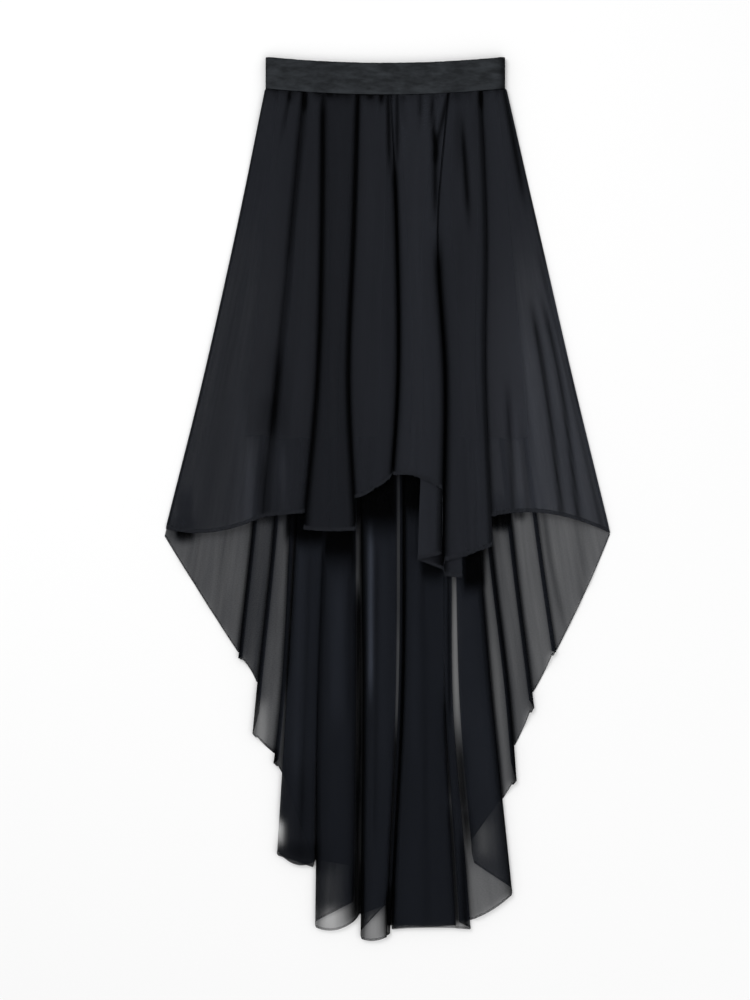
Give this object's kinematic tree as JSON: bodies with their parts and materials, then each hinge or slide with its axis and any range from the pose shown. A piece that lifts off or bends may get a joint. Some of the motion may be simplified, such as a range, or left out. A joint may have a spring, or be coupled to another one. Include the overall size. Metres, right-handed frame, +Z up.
{
  "type": "chiffon skirt",
  "caption": "High-low chiffon skirt laid flat: elastic waistband, gathered short front, long pleated back and a short lining between them.",
  "frame": {"origin": "centre of the skirt's outline on the surface it lies on", "axes": "+Y towards the waistband, +X to the right seen from above, +Z up from the surface, out of the front of the skirt"},
  "size_m": [0.5122, 1.0174, 0.0155],
  "materials": {
    "elastic": "black covered elastic with a fine crosswise texture",
    "chiffon": "black sheer chiffon, matt with a soft sheen",
    "lining": "black opaque lining, slightly shiny"
  },
  "bodies": {
    "root": {"waistband": "elastic", "front_panel": "chiffon", "back_panel": "chiffon", "lining_front": "lining", "lining_back": "lining"}
  },
  "joints": []
}
